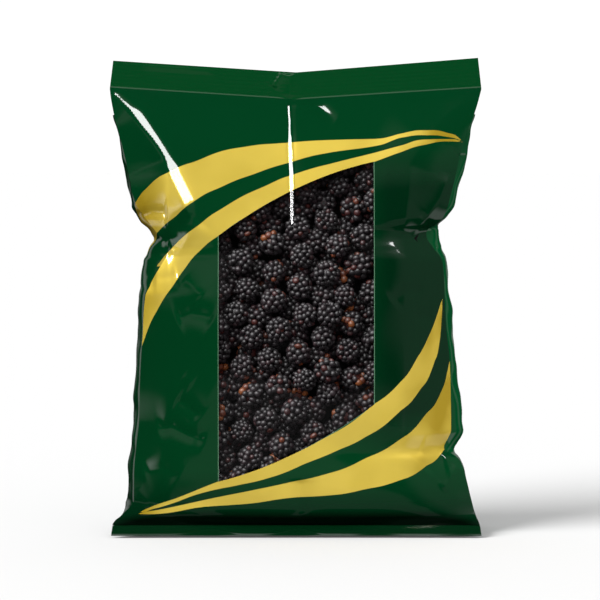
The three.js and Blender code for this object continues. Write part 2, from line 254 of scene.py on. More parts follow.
# %% [markdown]
# ## Ridges with a flat side
# Two long ridges carry the bag's brightest marks. A mark is as wide as the side that mirrors the light,
# so these strokes have one flat side of a given width and slope, and a soft other side. A turn is the
# opposite: the film bends away on one side of a line, which parts a light area from a dark one.


# %%
def flank(x, z, points, slopes, widths, tail, sharp):
    """A ridge with one flat side, which catches the light as a band: slopes and widths are those of that
    side along the line, tail how softly it ends, and sharp how quickly the other side falls."""
    away, share, side = near_line(points, x, z)
    width = smooth(*widths)(share)
    slope = smooth(*slopes)(share)
    top = slope * (width + tail)
    beyond = np.maximum(away - width, 0)
    flat_side = slope * (width - np.minimum(away, width) + tail * np.exp(-beyond / tail))
    other_side = top * np.exp(-away / sharp)
    rise = np.clip(share / 0.03, 0, 1) * np.clip((1 - share) / 0.08, 0, 1)
    return np.where(side > 0, flat_side, other_side) * rise


def turn(x, z, points, slope, reach):
    """A bend: on the right of the line the film turns away, and runs level again past the reach."""
    away, share, side = near_line(points, x, z)
    fade = np.clip(share / 0.2, 0, 1) * np.clip((1 - share) / 0.2, 0, 1)
    soft = away**2 / (away + 2)
    return np.where(side < 0, -slope * reach * (1 - np.exp(-soft / reach)), 0) * fade


fallen = turn(np.array(5.0), np.array(-20.0), [(0, 0), (10, 0)], 0.2, 26)
print("height 20 mm past a turn:", round(float(fallen), 2))

# %% [markdown]
# ## Soft unevenness
# Between its creases the film is never quite flat. A noise texture could move it, but a sum of a few
# crossing waves is smooth, cheap, and the same every time for the same seed.


# %%
def ripple(x, z, seed, count, short, long, height):
    dice = np.random.default_rng(seed)
    total = 0 * (x + z)
    for _ in range(count):
        length = dice.uniform(short, long)
        heading, phase = dice.uniform(0, math.pi), dice.uniform(0, 2 * math.pi)
        across = x * math.cos(heading) + z * math.sin(heading)
        total += height * length / long * np.sin(2 * math.pi * across / length + phase)
    return total / math.sqrt(count)


print("a ripple at one place:", round(float(ripple(10.0, 20.0, 5, 14, 22, 70, 0.5)), 3))

# %% [markdown]
# ## The creases of the front
# They gather where the fill ends and the sides are pinched in, and fade towards the window, where the
# fruit holds the film taut. Each stroke has its line, its height, its width, its roundness and, where
# they differ, how softly its two ends begin.

# %%
FRONT_STROKES = [
    # the folds that meet the foot of the long ridge
    ([(-108, 216), (-98, 219.5), (-87, 219)], -3.2, 6, 1.0),
    ([(-87, 192.5), (-80, 192.5), (-73, 201), (-65, 212.5)], 1.8, 6, 2.0),
    ([(-97, 174), (-89, 174.5), (-80, 176.5)], -0.9, 5, 1.5),
    ([(-76, 174), (-69.5, 168.5), (-63.5, 162.5)], 0.6, 3, 1.0),
    # dents in the left of the panel
    ([(-81, 147), (-71, 151), (-61, 149.5), (-56, 147)], -1.4, 6, 2.0),
    ([(-77, 108), (-70, 103.5)], 0.4, 4, 1.5),
    ([(-81, 93), (-74, 89), (-65, 81)], -0.9, 4, 1.5),
    ([(-94, 72), (-84, 74), (-73, 69), (-61.5, 65)], -1.3, 4, 1.5),
    ([(-103, 42), (-89, 46), (-80, 40)], -0.8, 5, 2.5),
    ([(-108, 32), (-98, 18)], 0.4, 3, 1.0),
    # a short ridge beside the middle
    ([(8, 296), (13, 291), (19, 286.5), (27, 281)], 1.6, 4, 1.2, (0.3, 0.5)),
    # the pinch on the right, and dents under it
    ([(105, 244.5), (97.5, 227.5), (87, 213), (78.5, 202)], 1.5, 5, 0.6),
    ([(95, 210.5), (88, 204.5), (78.5, 202), (70, 192)], -1.2, 7, 2.5, (0.15, 0.6)),
    ([(65, 158.5), (72, 164.5), (78, 167), (86, 165.5)], -0.8, 5, 1.5),
    ([(80, 148), (92, 149)], -0.6, 4, 1.0),
    # the low pinch on the right
    ([(103, 58), (94, 56.5), (84, 60)], 1.4, 4, 0.8),
    ([(101, 52.5), (92, 50), (87, 45)], -1.8, 6, 1.5),
    ([(111, 47), (104, 38), (99, 31)], 1.6, 3.5, 0.8),
    # a fold under the window
    ([(2.5, 40), (1.8, 27), (3.8, 16)], -1.5, 5, 1.5),
]
print("strokes on the front:", len(FRONT_STROKES))

# %% [markdown]
# ## The long ridges and the turns
# One ridge runs from the upper left corner down to the pinch, and one down the middle, over the window's
# upper end. Slopes and widths are (share of the length, value). One turn is where the front bends
# towards its right side, the other where its lower left bends under.

# %%
left_ridge = dict(
    points=[(-128, 301.5), (-113.4, 287), (-105.7, 277.5), (-98, 268), (-93.1, 261), (-89, 254),
            (-85.2, 242), (-76.5, 225), (-67.5, 211)],
    slopes=[(0, 0.54), (0.2, 0.55), (0.34, 0.62), (0.5, 0.66), (0.83, 0.74), (0.92, 0.64), (1, 0.5)],
    widths=[(0, 2), (0.16, 3.1), (0.24, 5.2), (0.39, 4.4), (0.55, 4.6), (0.64, 7), (0.83, 7),
            (0.92, 4.5), (1, 1.2)],
    tail=2.5,
    sharp=17.0,
)
middle_ridge = dict(
    points=[(-1.2, 207), (-1.2, 232), (-1.6, 250), (-2.3, 262), (-3.2, 273), (-3.9, 291), (-4.2, 300)],
    slopes=[(0, 0.9), (0.5, 0.9), (0.62, 0.8), (1, 0.79)],
    widths=[(0, 1.6), (0.03, 2.6), (0.13, 3.3), (0.34, 3.5), (0.56, 3.6), (0.71, 2.4), (0.9, 2.1),
            (1, 1.2)],
    tail=0.4,
    sharp=24.0,
)
FRONT_TURNS = [
    ([(70, 16), (72, 60), (73, 120), (73, 210), (76, 251), (91, 275), (110, 292), (130, 310)], 0.2, 26),
    ([(-94, 12), (-89, 25), (-72, 60), (-61, 90), (-50, 118)], 0.09, 25),
]
print("turns on the front:", len(FRONT_TURNS))

# %% [markdown]
# ## Front and back as heights
# With its creases added, each panel is one function of the place on it. Over the window the film can't
# sink into the fruit, so dents stop there. Near the seal and the crease every height goes to nothing,
# because the neighbouring panels start from the plain edge.

# %%
DEEPEST_OVER_FRUIT = -0.9
FRONT_RIPPLE = dict(seed=5, count=14, short=22, long=70, height=0.5)
BACK_RIPPLE = dict(seed=9, count=14, short=22, long=70, height=0.6)


def front_relief(x, z):
    total = ripple(x, z, **FRONT_RIPPLE)
    for line in FRONT_STROKES:
        total += stroke(x, z, *line)
    for ridge in (left_ridge, middle_ridge):
        total += flank(x, z, **ridge)
    for line in FRONT_TURNS:
        total += turn(x, z, *line)
    in_window = (np.abs(x) < WINDOW_HALF) & (z > window_low(x)) & (z < window_high(x))
    total = np.where(in_window, np.maximum(total, DEEPEST_OVER_FRUIT), total)
    tied = np.clip((seal_line(x) - z) / 5, 0, 1) * np.clip((z - CREASE_Z) / 4, 0, 1)
    return total * tied


def front_y(x, z):
    return PLANE_Y - depth_of(front_depth, front_fold_depth, x, z) - front_relief(x, z)


def back_y(x, z):
    soft = ripple(x, z, **BACK_RIPPLE) * np.clip((seal_line(x) - z) / 5, 0, 1)
    soft = soft * np.clip((z - RIM_Z) / 4, 0, 1) * np.clip((fold_at(x, z) - np.abs(x)) / 6, 0, 1)
    return PLANE_Y + depth_of(back_depth, back_fold_depth, x, z) + soft


middle = np.zeros(1)
thickness = back_y(middle, 150.0 + middle) - front_y(middle, 150.0 + middle)
print("thickness at mid height:", round(float(thickness[0]), 1))

# %% [markdown]
# ## Meshes from grids
# Every film panel is a grid of points, row by row. A Grid primitive moved by modifiers would do too, but
# made from points it can have any outline. Its faces look to the side from which the columns run right
# and the rows run up. `keep` picks the cells that become faces, and attributes carry the print.


# %%
def grid_points(x, y, z):
    return np.stack(np.broadcast_arrays(x, y, z), axis=2)


def grid_mesh(name, points, keep=None, attributes=None):
    rows, columns = points.shape[0] - 1, points.shape[1] - 1
    corner = (np.arange(rows)[:, None] * (columns + 1) + np.arange(columns)[None, :]).ravel()
    faces = np.stack([corner, corner + 1, corner + columns + 2, corner + columns + 1], axis=1)
    if keep is not None:
        faces = faces[keep.ravel()]
    used = np.unique(faces)
    renumber = np.zeros((rows + 1) * (columns + 1), int)
    renumber[used] = np.arange(len(used))
    mesh = bpy.data.meshes.new(name)
    mesh.from_pydata((points.reshape(-1, 3)[used] * MM).tolist(), [], renumber[faces].tolist())
    for key, values in (attributes or {}).items():
        layer = mesh.attributes.new(key, "FLOAT", "POINT")
        layer.data.foreach_set("value", np.ascontiguousarray(values.ravel()[used], dtype=np.float32))
    mesh.polygons.foreach_set("use_smooth", [True] * len(mesh.polygons))
    mesh.update()
    return mesh


def add_piece(name, mesh, material, nodes):
    piece = bpy.data.objects.new(name, mesh)
    bpy.context.scene.collection.objects.link(piece)
    mesh.materials.clear()
    mesh.materials.append(material)
    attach(piece, "root")
    if nodes:
        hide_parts(*nodes)
    return piece


def join_meshes(name, parts):
    scratch = []
    for part in parts:
        holder = bpy.data.objects.new("scratch", part)
        bpy.context.scene.collection.objects.link(holder)
        scratch.append(holder)
    with bpy.context.temp_override(active_object=scratch[0], selected_editable_objects=scratch):
        bpy.ops.object.join()
    mesh = scratch[0].data
    mesh.name = name
    bpy.data.objects.remove(scratch[0])
    return mesh


print("grids ready")

# %% [markdown]
# ## The gold bands
# Four bands, each between a lower and an upper curve over the flat width of the sheet. They could be a
# painted image, but curves stay crisp close up. A band comes to a point where its two curves meet.

# %%
FLAT_HALF = 124  # the curves are told for the flat sheet up to here

high_outer = (
    smooth((-FLAT_HALF, 163), (-94.6, 204.6), (-81, 216.5), (-70.5, 225.3), (-51.4, 235.6), (-29, 244.5),
           (-5, 252.3), (23, 259.2), (57, 264.3), (72.4, 269.5), (88, 270.9), (104, 269.6), (114, 266.2),
           (120, 264)),
    smooth((-FLAT_HALF, 203), (-109, 225.5), (-102, 234.4), (-86.3, 245.8), (-69, 252.9), (-36, 262.8),
           (-12, 265.3), (33, 267.9), (54, 268.4), (71, 272), (88, 274.3), (104, 272.2), (114, 266.2),
           (120, 261)),
)
high_inner = (
    smooth((-FLAT_HALF, 60), (-110, 112), (-104.5, 129), (-94, 152.8), (-83, 169.7), (-75.5, 180.6),
           (-64.8, 193.2), (-52.2, 203.3), (-30.4, 218), (-5, 232), (30, 246), (52.2, 252.8), (70, 259.2),
           (88, 264.6), (104, 266.7), (114, 266.1), (120, 265)),
    smooth((-FLAT_HALF, 140), (-100, 175), (-86, 192.7), (-65, 210.9), (-51.3, 220.7), (-20.5, 236.8),
           (-1.5, 244.5), (26, 252.3), (53.6, 259.2), (72.3, 264.3), (88, 268), (104, 268.3), (114, 266.1),
           (120, 263)),
)
low_inner = (
    smooth((-112, 16), (-106, 15.6), (-97.6, 17.9), (-81, 23.4), (-65, 29.6), (-39, 35.9), (-17.6, 41.2),
           (6.5, 50.8), (29.3, 60.1), (46.7, 68.4), (70, 85.2), (84, 99.5), (94, 118.2), (97.7, 133.5),
           (98.8, 147), (99.6, 160.2), (100.4, 175)),
    smooth((-112, 13), (-106, 15.6), (-102, 17.8), (-81, 26), (-52.2, 38.2), (-22, 49.5), (21, 69),
           (52.2, 90.2), (70, 104.7), (82, 121.2), (89.7, 134.9), (96, 150.2), (99.5, 159.9), (101, 162)),
)
low_outer = (
    smooth((-112, 15), (-106, 14.4), (-63.5, 20.5), (-29, 23.7), (-5, 27.3), (21, 29), (46.7, 33.1),
           (70, 38.5), (88, 47.1), (99.7, 55.9), (104.2, 65.1), (108, 76)),
    smooth((-112, 12), (-106, 15), (-95, 17.3), (-59, 26), (-30.4, 32.3), (-5, 37.8), (21, 43.8),
           (46.7, 53.8), (70, 66), (88, 82.5), (99.4, 98.8), (104, 115.6), (106, 123)),
)
print("band width over the window:", round(float(high_inner[1](0) - high_inner[0](0)), 1))

# %% [markdown]
# ## What a point knows of the print
# A point's value is its distance inside a band, so the shader draws a crisp edge at zero between any two
# points. The two slim bands share one value and the two wide ones the other, because neighbours nearly
# touch. The third value is the distance outside the window.


# %%
def inside(band, x, z):
    lower, upper = band
    return np.minimum(z - lower(x), upper(x) - z)


def print_values(x, z):
    x = np.clip(x, -FLAT_HALF, FLAT_HALF)
    return {
        "band_slim": np.maximum(inside(high_inner, x, z), inside(low_outer, x, z)),
        "band_wide": np.maximum(inside(high_outer, x, z), inside(low_inner, x, z)),
        "rim": np.maximum(np.abs(x) - WINDOW_HALF, np.maximum(window_low(x) - z, z - window_high(x))),
    }


print("print values:", ", ".join(print_values(0.0, 150.0)))

# %% [markdown]
# ## Colours
# The bag's colours are those of its inks, given as display values from 0 to 255. Some are painted shade:
# darker copies of an ink or seal, for where less light falls. Shaders want linear values, and a colour
# picker would turn them over by itself. In a script a small function does it.


# %%
def linear(red, green, blue):
    values = [v / 255 for v in (red, green, blue)]
    return tuple(v / 12.92 if v <= 0.04045 else ((v + 0.055) / 1.055) ** 2.4 for v in values) + (1.0,)


GREEN = linear(1, 66, 32)
# painted shade: the green where the film turns away from the light
SHADED_GREEN = linear(0, 43, 20)
# painted shade in the crease above the bottom seal, nearly black
CREASE_SHADE = linear(0, 12, 4)
SEAL_GREEN = linear(2, 75, 33)
# painted shade: the bottom seal, darker than the top one
SHADED_SEAL_GREEN = linear(1, 46, 20)
GOLD = linear(227, 199, 82)
# painted shade on the gold
SHADED_GOLD = linear(180, 151, 38)
PALE = linear(96, 138, 108)
print("green as linear values:", [round(value, 3) for value in GREEN])

# %% [markdown]
# ## Helpers for shader trees
# Shader nodes could be wired by hand in the editor. Here each kind of step gets a small function, so that
# a finish can be read from top to bottom. `soft_step` goes from 0 at `low` to 1 at `high`.


# %%
def new_material(name):
    material = bpy.data.materials.new(name)
    material.use_nodes = True
    tree = material.node_tree
    shader = tree.nodes["Principled BSDF"]
    return material, tree, shader


def attribute(tree, name):
    node = tree.nodes.new("ShaderNodeAttribute")
    node.attribute_name = name
    return node.outputs["Fac"]


def object_place(tree):
    """A point's place on the piece in metres: all three axes in one socket, and each in its own."""
    together = tree.nodes.new("ShaderNodeTexCoord").outputs["Object"]
    apart = tree.nodes.new("ShaderNodeSeparateXYZ")
    tree.links.new(together, apart.inputs[0])
    return together, apart.outputs


def wire(tree, inputs, values):
    for socket, value in zip(inputs, values):
        if isinstance(value, (int, float, tuple)):
            socket.default_value = value
        else:
            tree.links.new(value, socket)


def math_node(tree, operation, first, second):
    node = tree.nodes.new("ShaderNodeMath")
    node.operation = operation
    wire(tree, node.inputs, (first, second))
    return node.outputs[0]


def soft_step(tree, value, low, high):
    node = tree.nodes.new("ShaderNodeMapRange")
    node.inputs["From Min"].default_value = low
    node.inputs["From Max"].default_value = high
    tree.links.new(value, node.inputs["Value"])
    return node.outputs["Result"]


def mix_colour(tree, factor, first, second):
    node = tree.nodes.new("ShaderNodeMix")
    node.data_type = "RGBA"
    wire(tree, (node.inputs["Factor"], node.inputs["A"], node.inputs["B"]), (factor, first, second))
    return node.outputs["Result"]


print("shader helpers are ready")

# %% [markdown]
# ## The gloss, and the painted shade of the crease
# Packing film shines like varnish over matt ink. The Principled shader has a coat for just that, so the
# ink's own gloss is off and the coat carries all of it. Above the bottom seal the film folds in, and the
# shade there is painted into its colour, nearly black. Dark faces would give this strip a stepped edge, so
# the shader works it out: the strip is highest in the middle and drops at both ends, by a high power of
# the distance from the middle.

# %%
INK_ROUGHNESS = 0.6
STRIP_FADE = (0.0185, 0.0135)  # metres: no shade above the first, full shade below the second
STRIP_DROP, STRIP_REACH = 0.0055, 0.117  # metres: how far the edge has dropped, and where


def film_finish(shader, coat_roughness):
    shader.inputs["Roughness"].default_value = INK_ROUGHNESS
    shader.inputs["Specular IOR Level"].default_value = 0.0
    shader.inputs["Coat Weight"].default_value = 1.0
    shader.inputs["Coat Roughness"].default_value = coat_roughness
    shader.inputs["Coat IOR"].default_value = 1.5


def crease_shade(tree, axes):
    """1 in the strip of painted shade, 0 above it."""
    outward = math_node(tree, "POWER", math_node(tree, "ABSOLUTE", axes["X"], 0), 6)
    drop = math_node(tree, "MULTIPLY", outward, STRIP_DROP / STRIP_REACH**6)
    return soft_step(tree, math_node(tree, "ADD", axes["Z"], drop), *STRIP_FADE)


print("the dark strip ends at", 1000 * STRIP_FADE[0], "mm in the middle")

# %% [markdown]
# ## The printed film: green, with painted shade
# The green is painted darker low down and on the right, as painted shade where the film turns away from
# the light. A painted image could hold this, but a few soft steps along the piece's own axes need no image
# at all.

# %%
printed, tree, shader = new_material("printed_film")
film_finish(shader, 0.07)
place, axes = object_place(tree)
# painted shade: the green darkens towards the right and near the bottom
painted_shade = soft_step(tree, axes["X"], 0.03, 0.062)
for low, high in ((0.05, 0.085), (0.268, 0.236)):
    painted_shade = math_node(tree, "MULTIPLY", painted_shade, soft_step(tree, axes["Z"], low, high))
painted_shade = math_node(tree, "MAXIMUM", painted_shade, soft_step(tree, axes["Z"], 0.045, 0.015))
green_here = mix_colour(tree, painted_shade, GREEN, SHADED_GREEN)
# painted shade of the crease, on the printed film too
green_here = mix_colour(tree, crease_shade(tree, axes), green_here, CREASE_SHADE)
print("nodes for the green:", len(tree.nodes))

# %% [markdown]
# ## The printed film: gold, with painted shade
# Gold ink lies where a band's value is above zero. It is painted over to a darker mustard in soft patches,
# and most near the two folds: painted shade, for the uneven shading of the metallic ink and for the film
# turning away at the folds. So a noise texture is added to a step on each side. It is a little metallic
# and smoother than the green, but real metal would turn black wherever nothing bright is mirrored.

# %%
EDGE_BLUR = 0.08  # millimetres on each side of a band's edge

in_band = math_node(tree, "MAXIMUM", attribute(tree, "band_slim"), attribute(tree, "band_wide"))
gold_here = soft_step(tree, in_band, -EDGE_BLUR, EDGE_BLUR)
# painted shade on the gold: soft patches all over, most near the folds
mottle = tree.nodes.new("ShaderNodeTexNoise")
mottle.inputs["Scale"].default_value = 40
mottle.inputs["Detail"].default_value = 1
tree.links.new(place, mottle.inputs["Vector"])
patch = soft_step(tree, mottle.outputs["Fac"], 0.4, 0.62)
near_right = soft_step(tree, axes["X"], 0.068, 0.1)
near_left = soft_step(tree, axes["X"], -0.086, -0.106)
near_fold = math_node(tree, "MAXIMUM", near_right, near_left)
at_folds = math_node(tree, "MULTIPLY", near_fold, math_node(tree, "ADD", patch, 1.0))
all_over = math_node(tree, "MULTIPLY", patch, 0.3)
gold_shade = math_node(tree, "MULTIPLY", math_node(tree, "ADD", at_folds, all_over), 0.5)
inked = mix_colour(tree, gold_here, green_here, mix_colour(tree, gold_shade, GOLD, SHADED_GOLD))
smoother = math_node(tree, "MULTIPLY", gold_here, 0.2)
tree.links.new(math_node(tree, "SUBTRACT", INK_ROUGHNESS, smoother), shader.inputs["Roughness"])
tree.links.new(math_node(tree, "MULTIPLY", gold_here, 0.15), shader.inputs["Metallic"])
print("nodes with the gold:", len(tree.nodes))

# %% [markdown]
# ## The pale line round the window
# The inks end a hair before the window does, which leaves a thin pale line beside it. It could be a strip
# of mesh, but the distance to the window is already on every point. The gold covers it.

# %%
at_rim = soft_step(tree, attribute(tree, "rim"), 0.6, 0.4)
lined = math_node(tree, "MULTIPLY", at_rim, math_node(tree, "SUBTRACT", 1.0, gold_here))
tree.links.new(mix_colour(tree, lined, inked, PALE), shader.inputs["Base Color"])
print("nodes of the printed film:", len(tree.nodes))

# %% [markdown]
# ## Film without print
# The right side, the back and the base are plain green. The strip in the crease hardly shines, and its
# colour is painted shade, from dark green down to nearly black. The seals are pressed, which dulls their
# coat, the bottom one most, and the bottom one is painted darker than the top one, as shade under the bag.
# Each gets a material of its own, because one shader with switches would be harder to read and to export.

# %%
plain, tree, shader = new_material("plain_film")
film_finish(shader, 0.08)
shader.inputs["Base Color"].default_value = GREEN

# painted shade: the crease strip's colour, from dark green to nearly black
shaded, tree, shader = new_material("shaded_film")
film_finish(shader, 0.3)
shader.inputs["Coat Weight"].default_value = 0.15
_, axes = object_place(tree)
strip_colour = mix_colour(tree, crease_shade(tree, axes), SHADED_GREEN, CREASE_SHADE)
tree.links.new(strip_colour, shader.inputs["Base Color"])

seal, tree, shader = new_material("seal_film")
film_finish(shader, 0.1)
shader.inputs["Base Color"].default_value = SEAL_GREEN

# painted shade: the bottom seal's green is darker than the top seal's
seal_low, tree, shader = new_material("seal_film_low")
film_finish(shader, 0.16)
shader.inputs["Base Color"].default_value = SHADED_SEAL_GREEN
print("films without print:", plain.name, shaded.name, seal.name, seal_low.name)

# %% [markdown]
# ## The clear film
# Thin film doesn't bend the light behind it, so a glass shader would only make it slower and darker. A
# transparent shader lets the fruit through, and a small share of a glossy one gives the shine.

# %%
GLOSSY_SHARE = 0.033

clear = bpy.data.materials.new("clear_film")
clear.use_nodes = True
tree = clear.node_tree
tree.nodes.clear()
output = tree.nodes.new("ShaderNodeOutputMaterial")
through = tree.nodes.new("ShaderNodeBsdfTransparent")
through.inputs["Color"].default_value = (0.97, 0.97, 0.97, 1)
gloss = tree.nodes.new("ShaderNodeBsdfGlossy")
gloss.inputs["Roughness"].default_value = 0.06
mixed = tree.nodes.new("ShaderNodeMixShader")
mixed.inputs["Fac"].default_value = GLOSSY_SHARE
tree.links.new(through.outputs[0], mixed.inputs[1])
tree.links.new(gloss.outputs[0], mixed.inputs[2])
tree.links.new(mixed.outputs[0], output.inputs["Surface"])
print("window material:", clear.name)

# %% [markdown]
# ## The grid of the front
# One grid covers the whole front, printed film and window alike. Its columns and rows run exactly along
# the window's four edges. A Boolean cut would make the same hole, but with long thin faces along its rim
# that shade badly. Here no cell is cut at all.

# %%
SIDE, ACROSS = 64, 150  # columns beside the window, on each side, and across it
LOW, MIDDLE, HIGH = 44, 150, 64  # rows below the window, along it, and above it


def front_grid():
    over_window = np.linspace(-WINDOW_HALF, WINDOW_HALF, ACROSS + 1)
    beside = np.linspace(0, 1, SIDE + 1)
    near = np.concatenate([np.full(SIDE, -WINDOW_HALF), over_window, np.full(SIDE, WINDOW_HALF)])
    outward = np.concatenate([-beside[:0:-1], np.zeros(ACROSS + 1), beside[1:]])
    low, high = window_low(near), window_high(near)

    def sideways(z):
        left = near + outward * (left_fold(z) - WINDOW_HALF)
        right = near + outward * (right_fold(z) - WINDOW_HALF)
        return np.where(outward < 0, left, right)

    top = seal_line(sideways(300.0))
    rows = [CREASE_Z + (low - CREASE_Z) * t for t in np.linspace(0, 1, LOW + 1)]
    rows += [low + (high - low) * t for t in np.linspace(0, 1, MIDDLE + 1)[1:]]
    rows += [high + (top - high) * t for t in np.linspace(0, 1, HIGH + 1)[1:]]
    z = np.array(rows)
    return sideways(z), z


front_x, front_z = front_grid()
front_points = grid_points(front_x, front_y(front_x, front_z), front_z)
print("points on the front:", front_x.size)

# %% [markdown]
# ## The front, its window and its crease
# The window's cells become the clear film, the lowest ones the dark strip, and all others the printed
# film. One mesh with three materials would look the same, but each of these is a piece that can be looked
# at by itself. They have the same border points, so no light leaks between them.

# %%
window_cells = np.zeros((front_x.shape[0] - 1, front_x.shape[1] - 1), bool)
window_cells[LOW : LOW + MIDDLE, SIDE : SIDE + ACROSS] = True
crease_cells = (front_z < CREASE_TOP)[1:, 1:]
values = print_values(front_x, front_z)
front_mesh = grid_mesh("front_film", front_points, ~(window_cells | crease_cells), values)
add_piece("front_film", front_mesh, printed, ["front_panel"])
crease_mesh = grid_mesh("front_crease", front_points, crease_cells)
add_piece("front_crease", crease_mesh, shaded, [])
window_mesh = grid_mesh("clear_window", front_points, window_cells)
add_piece("clear_window", window_mesh, clear, ["window_film"])
print("front and window faces:", len(front_mesh.polygons), len(window_mesh.polygons))

# %% [markdown]
# ## The sides
# A side is the narrow strip of film between the front fold and the back fold, with soft pleats. It could
# be lofted between two curves. This grid does the same: it starts on the very edge of the front grid,
# swells outwards, and ends on the back fold.

# %%
GUSSET_COLUMNS = 26
PLEAT_RUN = 26  # the millimetres of ripple laid across a side
OTHER_PLEATS = 300  # the right side takes its ripple this far off, so that the two differ
PLEATS = dict(seed=21, count=10, short=9, long=30, height=0.7)


def gusset_points(side):
    edge = front_points[:, 0 if side < 0 else -1]
    edge = edge[edge[:, 2] < GUSSET_TOP]
    z_front = edge[:, 2][:, None]
    v = np.linspace(0, 1, GUSSET_COLUMNS + 1)[None, :]
    fold = left_fold if side < 0 else right_fold
    swell = left_swell if side < 0 else right_swell
    z = z_front + (RIM_Z - CREASE_Z) * v * np.clip((40 - z_front) / 30, 0, 1)
    edge_x = np.abs(edge[:, 0])[:, None]
    back_x = fold(np.maximum(z, FLARE_TOP))
    level = z * seal_line(0) / seal_line(edge_x)
    front = edge[:, 1][:, None]
    back = PLANE_Y + back_fold_depth(level)
    bulge = swell(z) * np.sin(math.pi * v) ** 0.8
    pleat = ripple(v * PLEAT_RUN + OTHER_PLEATS * (side > 0), z, **PLEATS) * np.sin(math.pi * v)
    x = side * (edge_x + (back_x - edge_x) * v + bulge + pleat)
    y = front + (back - front) * v + 0 * z
    return grid_points(x, y, z)


print("points on a side:", gusset_points(-1).shape[:2])

# %% [markdown]
# ## The print goes round the left fold
# The upper gold bands run on round the left fold and soon end there, and the right side is plain. A
# printed sheet would be unwrapped with a UV map. Here the bands are curves over the flat sheet already,
# so the flat width just goes on counting past the fold, along the strip's own surface.

# %%
BANDS_ABOVE = 182  # below this height the left side carries no gold
BANDS_WITHIN = 110  # nor past this flat width


def flat_width(points):
    steps = np.linalg.norm(np.diff(points, axis=1), axis=2)
    run = np.concatenate([np.zeros((len(points), 1)), np.cumsum(steps, axis=1)], axis=1)
    return np.abs(points[:, :1, 0]) + run


points = gusset_points(-1)
flat_x, z = -flat_width(points), points[:, :, 2]
values = print_values(flat_x, z)
for band in ("band_slim", "band_wide"):
    values[band] = np.minimum(values[band], np.minimum((z - BANDS_ABOVE) / 3, BANDS_WITHIN + flat_x))
values = {key: value[:, ::-1] for key, value in values.items()}
left_mesh = grid_mesh("left_side", points[:, ::-1], attributes=values)
add_piece("left_side", left_mesh, printed, ["left_gusset"])
right_mesh = grid_mesh("right_side", gusset_points(1))
add_piece("right_side", right_mesh, plain, ["right_gusset"])
print("faces of the sides:", len(left_mesh.polygons), len(right_mesh.polygons))

# %% [markdown]
# ## The back
# The back is one plain panel from fold to fold. Low down it drops straight, while the front flares out.
# Nothing is cut out of it, so a grid with even steps will do. Its columns run from right to left, because
# it is seen from behind.

# %%
across = np.linspace(1, -1, 151)[None, :]
share = np.linspace(0, 1, 171)[:, None]
top = seal_line(across * 124.2)
z = RIM_Z + (top - RIM_Z) * share
x = across * fold_at(across, np.maximum(z, FLARE_TOP))
back_mesh = grid_mesh("back_film", grid_points(x, back_y(x, z), z))
add_piece("back_film", back_mesh, plain, ["back_panel"])
print("back faces:", len(back_mesh.polygons))

# %% [markdown]
# ## The long seam
# The sheet is closed to a tube by a lap seam down the middle of the back, pressed with fine crimp lines.
# It could be a bump in the back's material. But it has a thickness that shows from the side, so it is a
# narrow grid that lies on the back and rises at both of its edges.

# %%
SEAM_HALF = 7
SEAM_THICKNESS = 0.7
SEAM_CRIMP = 2.4  # from one crimp line to the next

x = np.linspace(SEAM_HALF, -SEAM_HALF, 13)[None, :] + 0 * share
z = RIM_Z + (seal_line(0) - 0.5 - RIM_Z) * share
edge = np.clip((SEAM_HALF - np.abs(x)) / 0.8, 0, 1)
crimp = 0.08 * np.sin(2 * math.pi * z / SEAM_CRIMP) * edge
seam_y = back_y(x, z) + 0.1 + SEAM_THICKNESS * edge + crimp
seam_mesh = grid_mesh("back_lap", grid_points(x, seam_y, z))
add_piece("back_lap", seam_mesh, seal, ["back_seam"])
print("seam faces:", len(seam_mesh.polygons))

# %% [markdown]
# ## The base
# Under the bag the film runs from the front crease to the back rim and lies on the floor in between. A
# subdivided plane pulled down in the middle would look alike. This grid keeps its border close behind
# both rims, whatever their curve, and comes down to the floor a short way inside it.

# %%
CURVE_DOWN = 12  # how far inside its border the base reaches the floor

across = np.linspace(-1, 1, 121)[None, :]
back = np.linspace(1, 0, 61)[:, None]
front_half = fold_at(across, CREASE_Z + 0 * back)
back_half = fold_at(across, FLARE_TOP + 0 * back)
half = front_half + (back_half - front_half) * back
x = across * half
front = front_y(x, CREASE_Z + 0 * x) + 0.2
rear = back_y(np.clip(x, -back_half, back_half), RIM_Z + 0 * x) - 0.2
y = front + (rear - front) * back
to_edge = np.minimum(np.minimum(half - np.abs(x), y - front), rear - y)
rim_height = CREASE_Z + (RIM_Z - CREASE_Z) * back
z = rim_height * np.clip(1 - to_edge / CURVE_DOWN, 0, 1) ** 2
base_mesh = grid_mesh("base_film", grid_points(x, y, z))
add_piece("base_film", base_mesh, plain, ["base_panel"])
print("base faces:", len(base_mesh.polygons))

# %% [markdown]
# ## A pressed seal as a slab
# A seal is two layers of film pressed into one stiff band. One grid with a Solidify modifier would give
# it a thickness, but its front has creases that its back doesn't. So it is a closed slab of three parts:
# a front grid, a back grid, and a border that joins them.


# %%
def around(grid):
    """The points along a grid's border, once round and back to the first."""
    return np.concatenate([grid[0, :-1], grid[:-1, -1], grid[-1, :0:-1], grid[:0:-1, 0], grid[:1, 0]])


def slab(name, front, back):
    """front and back are grids of points with the same shape, both seen from the front."""
    border = np.stack([around(back), around(front)])
    parts = [grid_mesh("a", front), grid_mesh("b", back[:, ::-1]), grid_mesh("c", border)]
    return join_meshes(name, parts)


print("points round a grid of 2 by 3 cells:", len(around(np.zeros((3, 4, 3)))))

# %% [markdown]
# ## The top seal
# It has faint crimp lines all over, a raised one where it starts, and a pucker in the middle, where the
# film below pulls at it. Towards its free edge it sways a little. A Wave modifier makes straight crimp
# lines only, and these follow the seal's dip, so they are added point by point.

# %%
TOP_HALF = 126.5
TOP_CRIMP = 2.6

